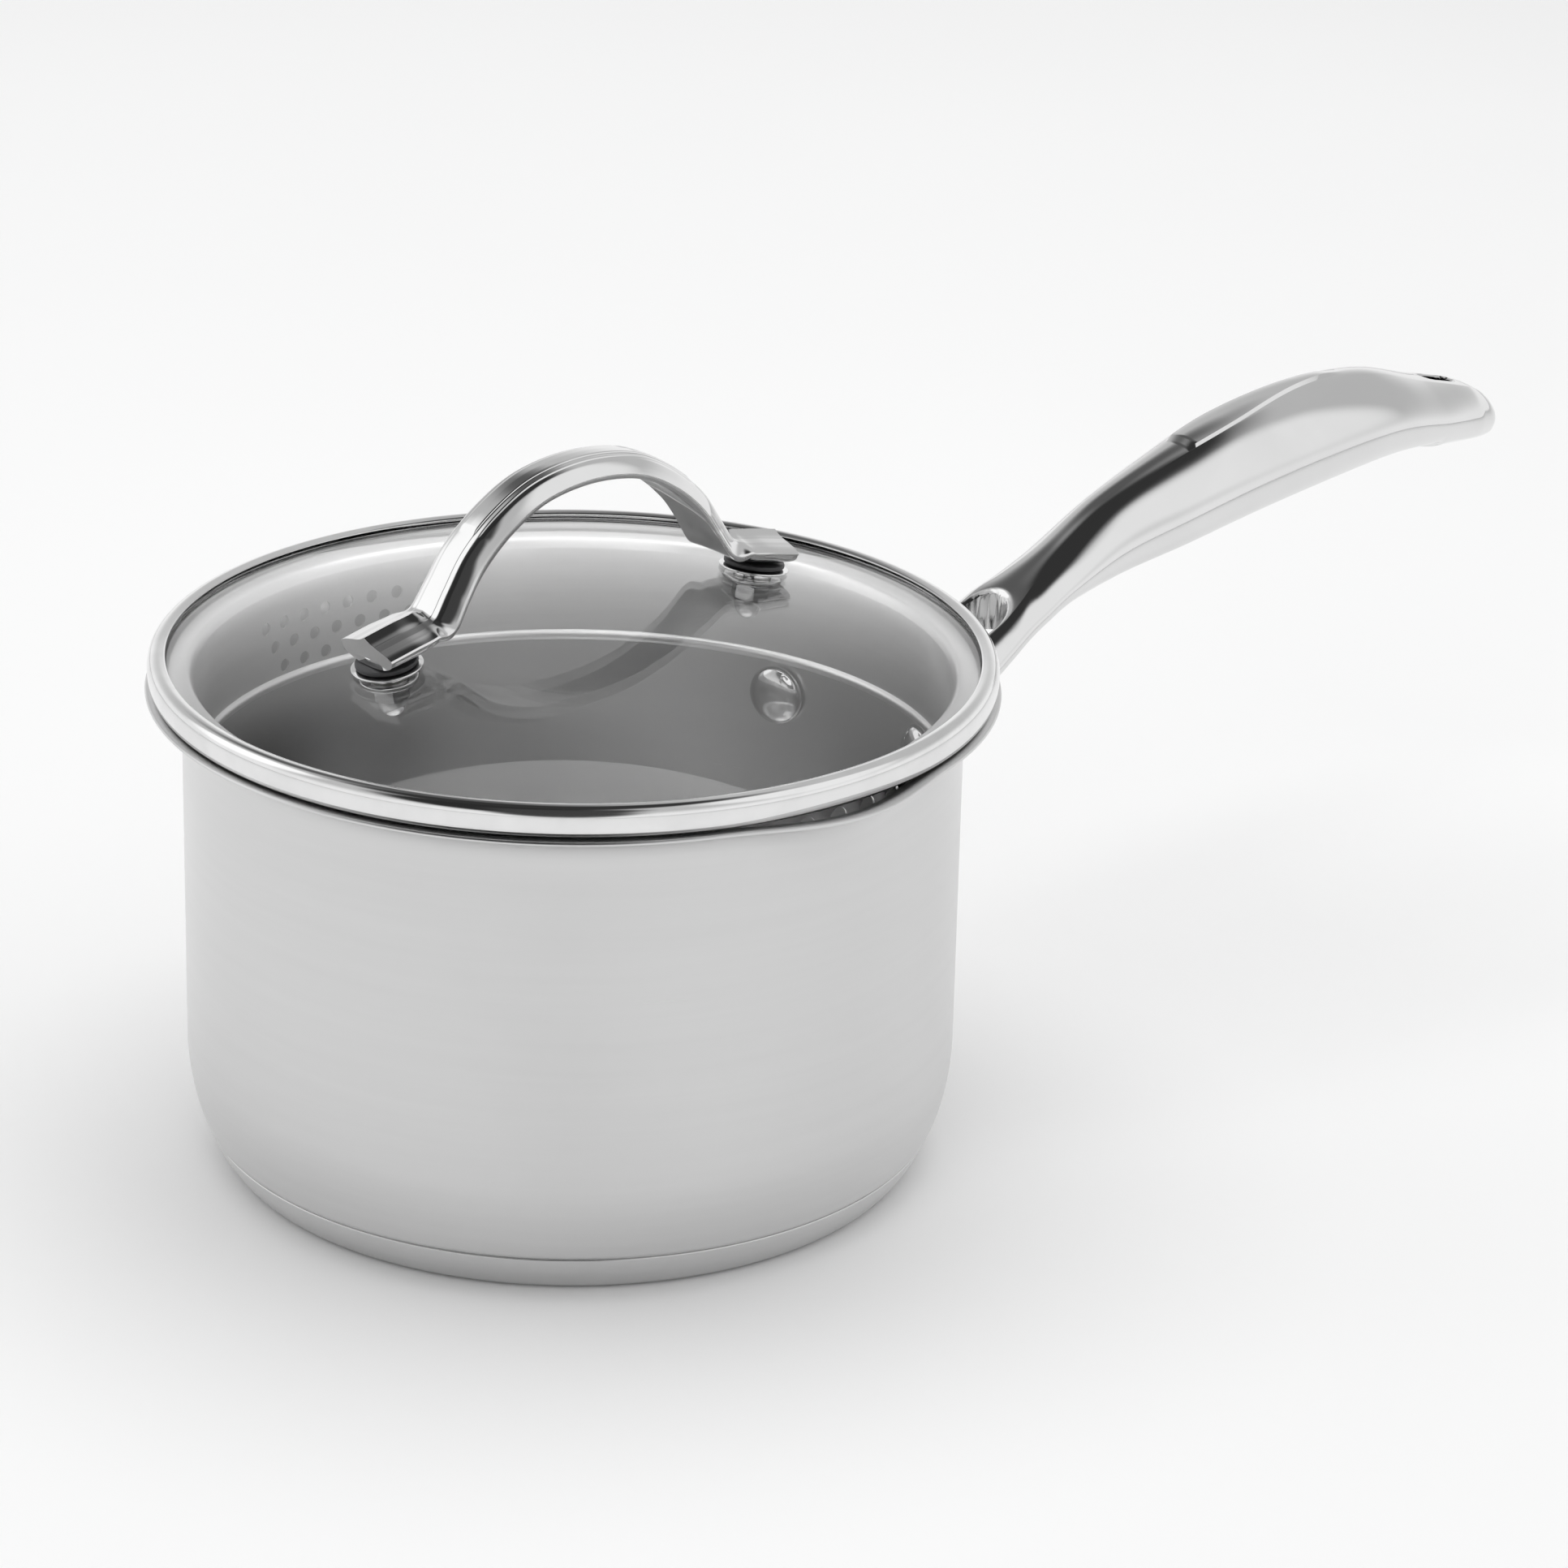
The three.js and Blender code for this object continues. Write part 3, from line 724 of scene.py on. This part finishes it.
def holeRowGroup():
    # one row of round tools set along the strainer's wall
    tree = bpy.data.node_groups.new("holeRow", "GeometryNodeTree")
    for label, kind in (("Middle", "Float"), ("Pitch", "Float"), ("Count", "Int"), ("Height", "Float"),
                        ("Hole Radius", "Float"), ("Wall Radius", "Float")):
        tree.interface.new_socket(name=label, in_out="INPUT", socket_type="NodeSocket" + kind)
    tree.interface.new_socket(name="Geometry", in_out="OUTPUT", socket_type="NodeSocketGeometry")
    entry, leave = tree.nodes.new("NodeGroupInput"), tree.nodes.new("NodeGroupOutput")
    line = addNode(tree, "GeometryNodeMeshLine", {"Count": entry.outputs["Count"], "Offset": (0, 0, 0)})
    index = tree.nodes.new("GeometryNodeInputIndex").outputs[0]
    halfCount = mathNode(tree, "MULTIPLY", mathNode(tree, "SUBTRACT", entry.outputs["Count"], 1.0), 0.5)
    offset = mathNode(tree, "MULTIPLY", mathNode(tree, "SUBTRACT", index, halfCount), entry.outputs["Pitch"])
    angle = mathNode(tree, "RADIANS", mathNode(tree, "ADD", entry.outputs["Middle"], offset))
    position = addNode(tree, "ShaderNodeCombineXYZ", {
        0: mathNode(tree, "MULTIPLY", mathNode(tree, "COSINE", angle), entry.outputs["Wall Radius"]),
        1: mathNode(tree, "MULTIPLY", mathNode(tree, "SINE", angle), entry.outputs["Wall Radius"]),
        2: entry.outputs["Height"]})
    placed = addNode(tree, "GeometryNodeSetPosition", {"Geometry": line.outputs[0], "Position": position.outputs[0]})
    tool = addNode(tree, "GeometryNodeMeshCylinder", {"Vertices": 24, "Radius": entry.outputs["Hole Radius"],
                                                      "Depth": 0.006})
    turn = addNode(tree, "ShaderNodeCombineXYZ", {1: math.pi / 2, 2: angle})
    copies = addNode(tree, "GeometryNodeInstanceOnPoints", {
        "Points": placed.outputs[0], "Instance": tool.outputs["Mesh"], "Rotation": turn.outputs[0]})
    tree.links.new(copies.outputs[0], leave.inputs[0])
    return tree


def perforationTree(rowTree, material):
    tree = bpy.data.node_groups.new("strainerHoles", "GeometryNodeTree")
    tree.interface.new_socket(name="Geometry", in_out="INPUT", socket_type="NodeSocketGeometry")
    labels = ("Wall Radius", "Small Hole", "Small Pitch", "Large Hole", "Large Pitch")
    sockets = {label: tree.interface.new_socket(name=label, in_out="INPUT", socket_type="NodeSocketFloat").identifier
               for label in labels}
    tree.interface.new_socket(name="Geometry", in_out="OUTPUT", socket_type="NodeSocketGeometry")
    entry, leave = tree.nodes.new("NodeGroupInput"), tree.nodes.new("NodeGroupOutput")
    tools = tree.nodes.new("GeometryNodeJoinGeometry")
    for size, label in (("small", "Small"), ("large", "Large")):
        for height, count in strainer[size]["rows"]:
            row = tree.nodes.new("GeometryNodeGroup")
            row.node_tree = rowTree
            row.inputs["Middle"].default_value = strainer[size]["middle"]
            row.inputs["Count"].default_value = count
            row.inputs["Height"].default_value = height * mm
            tree.links.new(entry.outputs["Wall Radius"], row.inputs["Wall Radius"])
            tree.links.new(entry.outputs[label + " Hole"], row.inputs["Hole Radius"])
            tree.links.new(entry.outputs[label + " Pitch"], row.inputs["Pitch"])
            tree.links.new(row.outputs[0], tools.inputs[0])
    cut = addNode(tree, "GeometryNodeMeshBoolean", {"Mesh 1": entry.outputs["Geometry"], "Mesh 2": tools.outputs[0]},
                  operation="DIFFERENCE", solver="EXACT")
    whole = addNode(tree, "GeometryNodeRealizeInstances", {0: cut.outputs[0]})
    painted = addNode(tree, "GeometryNodeSetMaterial", {"Geometry": whole.outputs[0], "Material": material})
    tree.links.new(painted.outputs[0], leave.inputs[0])
    return tree, sockets


def makeStrainer():
    radius, sheet, top = strainer["radius"], strainer["sheet"], strainer["top"]
    hemMiddle = radius - sheet / 2
    hem = arc((hemMiddle, strainer["hemHeight"]), strainer["hemRadius"], 78, -258, 24)
    wallHeights = [101, 98, 95, 92, 89, 87]
    profile = (curved([(84.6, top - sheet), (80.4, top - sheet), (79.1, top - 1), (radius, top - 2.2)], 5)
               + [(radius, z) for z in wallHeights] + hem
               + [(radius - sheet, z) for z in reversed(wallHeights)]
               + curved([(radius - sheet, top - 2), (radius + 0.3, top - 0.5), (80.1, top), (84.6, top)], 5))
    skirt = turnedShape("strainerSkirt", profile, 240, closed=True)
    tree, sockets = perforationTree(holeRowGroup(), brushedSkirt)
    change = skirt.modifiers.new("holes", "NODES")
    change.node_group = tree
    values = {"Wall Radius": (radius - sheet / 2) * mm, "Small Hole": strainer["small"]["radius"] * mm,
              "Small Pitch": strainer["small"]["pitch"], "Large Hole": strainer["large"]["radius"] * mm,
              "Large Pitch": strainer["large"]["pitch"]}
    for label, value in values.items():
        change[sockets[label]] = value
    settle(skirt)
    finishPiece(skirt, "lid", ["lid_strainer_skirt"], "brushed_steel", brushedSkirt)


makeStrainer()
print("strainer made")


# the lid handle and what holds it

lidHandle = {
    # distance from the middle and height of the strap's middle, its thickness and its width
    "stations": [
        (0, 151.1, 4.9, 13), (12.5, 149.4, 4.9, 13), (22, 144.6, 5, 13), (29.5, 138.2, 5, 13.2),
        (34.4, 131.5, 4.6, 13.8), (38, 126.2, 4.6, 15), (41.5, 124.6, 4.4, 16.4), (47, 123.6, 4.2, 17),
        (53.6, 122.4, 3.6, 17)],
    "panelEnd": 26.5, "creaseAt": 39.4,
    # share of the half width, and height over the strap's top: with the panel, below it, and on a foot
    "top": [(0, 0.05, -0.2, 1.35), (0.18, 0.02, -0.24, 0.55), (0.34, -0.05, -0.32, 0.1), (0.38, -0.38, -0.38, 0.0),
            (0.54, -0.5, -0.5, -0.3), (0.58, -0.82, -0.66, -0.38), (0.68, -1.15, -1.05, -0.62),
            (0.78, -1.75, -1.7, -0.85), (0.88, -2.5, -2.5, -1.15), (0.97, -3.35, -3.35, -1.5)],
    "bowl": 3.1, "bowlReach": 9.4,
    "collar": {"top": 4.6, "bottom": 4.4, "low": 2.4, "high": 4.6},
}


def strapSection(x, z, thickness, width, tangent, halfSteps):
    reach = abs(x)
    panelShare = 1 - ease(reach, lidHandle["panelEnd"] - 0.4, lidHandle["panelEnd"] + 0.4)
    footShare = ease(reach, lidHandle["creaseAt"] - 2.2, lidHandle["creaseAt"] + 2.2)
    half = thickness / 2
    top = [(share, half + mix(mix(plain, panel, panelShare), foot, footShare))
           for share, panel, plain, foot in lidHandle["top"]]
    fine = curved(top, halfSteps)
    low = fine[-1][1]
    side = [(1.0, low - 0.35), (0.995, mix(low - 0.8, low - 0.6, footShare)),
            (0.97, mix(low - 1.15, low - 0.8, footShare))]
    past = (reach - lid["footReach"]) / lidHandle["bowlReach"]
    bowl = lidHandle["bowl"] * math.sqrt(max(1 - past * past, 0)) * footShare
    lower = []
    for i in range(1, 15):
        share = 0.95 * math.cos(math.pi / 2 * i / 14)
        plain = -half + 0.4 * (1 - share ** 2)
        boat = side[-1][1] - 0.1 - bowl * math.sqrt(1 - (share / 0.97) ** 2)
        lower.append((share, mix(plain, boat, footShare)))
    outline = fine + side + lower
    upright = Vector((-tangent.y, 0, tangent.x))
    ring = [(x + upright.x * up, share * width / 2, z + upright.z * up) for share, up in outline]
    return ring + [(px, -py, pz) for px, py, pz in reversed(ring[1:-1])]


def makeLidHandle():
    crown, *rest = lidHandle["stations"]
    whole = [(-x, *others) for x, *others in reversed(rest)] + [crown] + rest
    line = curved(whole, 18)
    sections = []
    for i, (x, z, thickness, width) in enumerate(line):
        before, after = line[max(i - 1, 0)], line[min(i + 1, len(line) - 1)]
        tangent = Vector((after[0] - before[0], after[1] - before[1])).normalized()
        sections.append(strapSection(x, z, thickness, width, tangent, 4))
    strap = loftedShape("lidHandle", sections, 30)
    collar = lidHandle["collar"]
    for side in (1, -1):
        boss = [(0, collar["low"]), (collar["bottom"] - 0.3, collar["low"])] + curved(
            [(collar["bottom"], collar["low"] + 0.3), (collar["bottom"] + 0.15, collar["low"] + 0.9),
             (collar["top"], collar["high"] - 0.7)], 5) + [(collar["top"] - 1, collar["high"]), (0, collar["high"])]
        carve(strap, place(turnedShape("boss", boss, 64), footMatrix(side)), "UNION", 30)
        bore = turnedShape("bore", [(0, -1), (2.3, -1), (2.3, 5.2), (0, 5.9)], 32)
        carve(strap, place(bore, footMatrix(side)), crease=30)
    finishPiece(strap, "lid", ["lid_handle"], "polished_steel", polishedCast)


makeLidHandle()
print("lid handle made")

fixings = {
    "seat": {"bore": 2.3, "radius": 7.4, "low": 0.3, "high": 0.8, "round": 0.2},
    "gasket": {"bore": 2.3, "radius": 6.5, "low": 1.1, "high": 2.1, "round": 0.35},
    "bush": {"bore": 2.3, "radius": 3.8, "low": -3.4, "high": -0.2, "round": 0.2},
    "underWasher": {"bore": 2.3, "radius": 6.0, "low": -4.9, "high": -3.9, "round": 0.25},
    "stud": {"radius": 2.0, "low": -9.0, "high": 5.2, "threadPitch": 0.7, "threadDepth": 0.18},
    "nut": {"across": 7, "top": -5.2, "hexHeight": 3.2, "domeHeight": 4, "bore": 2.3, "boreEnd": -9.3},
}


def washerProfile(size):
    bore, radius, low, high, edge = (size[key] for key in ("bore", "radius", "low", "high", "round"))
    return ([(bore, low), (radius - edge, low)] + arc((radius - edge, low + edge), edge, -90, 0, 5)[1:]
            + arc((radius - edge, high - edge), edge, 0, 90, 5) + [(bore, high)])


def studProfile(size):
    profile = [(0, size["low"]), (size["radius"] - 0.4, size["low"])]
    pitch = size["threadPitch"]
    count = int((size["high"] - size["low"]) / pitch) - 1
    for i in range(count):
        low = size["low"] + 0.4 + i * pitch
        profile += [(size["radius"] - size["threadDepth"], low), (size["radius"], low + pitch * 0.45)]
    return profile + [(size["radius"] - 0.4, size["high"]), (0, size["high"])]


def makeNut(name, size):
    # a hexagon with chamfered corners and a domed end, with a blind bore
    hexHigh, hexLow = size["top"], size["top"] - size["hexHeight"]
    corner = size["across"] / math.sqrt(3)
    hexagon = turnedShape(name, [(0, hexLow), (corner, hexLow), (corner, hexHigh), (0, hexHigh)], 6)
    chamfer = turnedShape("chamfer", [(0, hexLow - 0.1), (corner - 0.9, hexLow - 0.1), (corner, hexLow + 0.45),
                                      (corner, hexHigh - 0.45), (corner - 0.9, hexHigh + 0.1),
                                      (0, hexHigh + 0.1)], 64)
    carve(hexagon, chamfer, "INTERSECT")
    radius = size["across"] / 2 - 0.3
    dome = [(0, hexLow + 1), (radius, hexLow + 1)] + [
        (radius * math.cos(a), hexLow - size["domeHeight"] * math.sin(a))
        for a in (math.radians(90 * i / 12) for i in range(12))] + [(0, hexLow - size["domeHeight"])]
    carve(hexagon, turnedShape("dome", dome, 48), "UNION")
    bore = turnedShape("bore", [(0, size["boreEnd"] - 0.4), (size["bore"], size["boreEnd"]),
                                (size["bore"], hexHigh + 1), (0, hexHigh + 1)], 32)
    carve(hexagon, bore)
    return hexagon


def makeFixings():
    for side, label in ((1, "near"), (-1, "far")):
        frameUnderFoot = footMatrix(side)
        title = label.capitalize()
        pieces = [
            (turnedShape("seat" + title, washerProfile(fixings["seat"]), 72, closed=True), "handle_seat_" + label,
             "polished_steel", polishedSmall),
            (turnedShape("gasket" + title, washerProfile(fixings["gasket"]), 72, closed=True),
             "handle_gasket_" + label, "silicone", darkSilicone),
            (turnedShape("bush" + title, washerProfile(fixings["bush"]), 48, closed=True), "glass_bush_" + label,
             "nylon", clearNylon),
            (turnedShape("underWasher" + title, washerProfile(fixings["underWasher"]), 64, closed=True),
             "under_washer_" + label, "satin_steel", polishedSmall),
            (turnedShape("stud" + title, studProfile(fixings["stud"]), 32), "handle_stud_" + label,
             "satin_steel", polishedSmall),
            (makeNut("capNut" + title, fixings["nut"]), "cap_nut_" + label, "polished_steel", polishedSmall),
        ]
        for made, node, slot, material in pieces:
            place(made, frameUnderFoot)
            finishPiece(made, "lid", [node], slot, material)


makeFixings()
print("fixings made")


# the base core as it stands in the CAD, and the floor

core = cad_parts["base_core"]
core.data.materials.clear()
core.data.materials.append(spunAluminium)


floorDisc = {"radius": 3500, "thickness": 20, "middle": (0.05, 0, -0.0002), "tone": (0.93, 0.96), "roughness": 0.8}


def makeFloor():
    radius, under = floorDisc["radius"], -floorDisc["thickness"]
    floor = turnedShape("floor", [(0, 0), (radius, 0), (radius, under), (0, under)], 96)
    place(floor, Matrix.Translation(floorDisc["middle"]))
    material, tree, shader, position = newMaterial("paleFloor")
    noise = addNode(tree, "ShaderNodeTexNoise", {"Vector": position, "Scale": 3.0})
    low, high = floorDisc["tone"]
    tone = addNode(tree, "ShaderNodeMapRange", {"Value": noise.outputs["Fac"], "To Min": low, "To Max": high})
    tree.links.new(tone.outputs["Result"], shader.inputs["Base Color"])
    shader.inputs["Roughness"].default_value = floorDisc["roughness"]
    shader.inputs["Specular IOR Level"].default_value = 0.1
    floor.data.materials.append(material)


makeFloor()
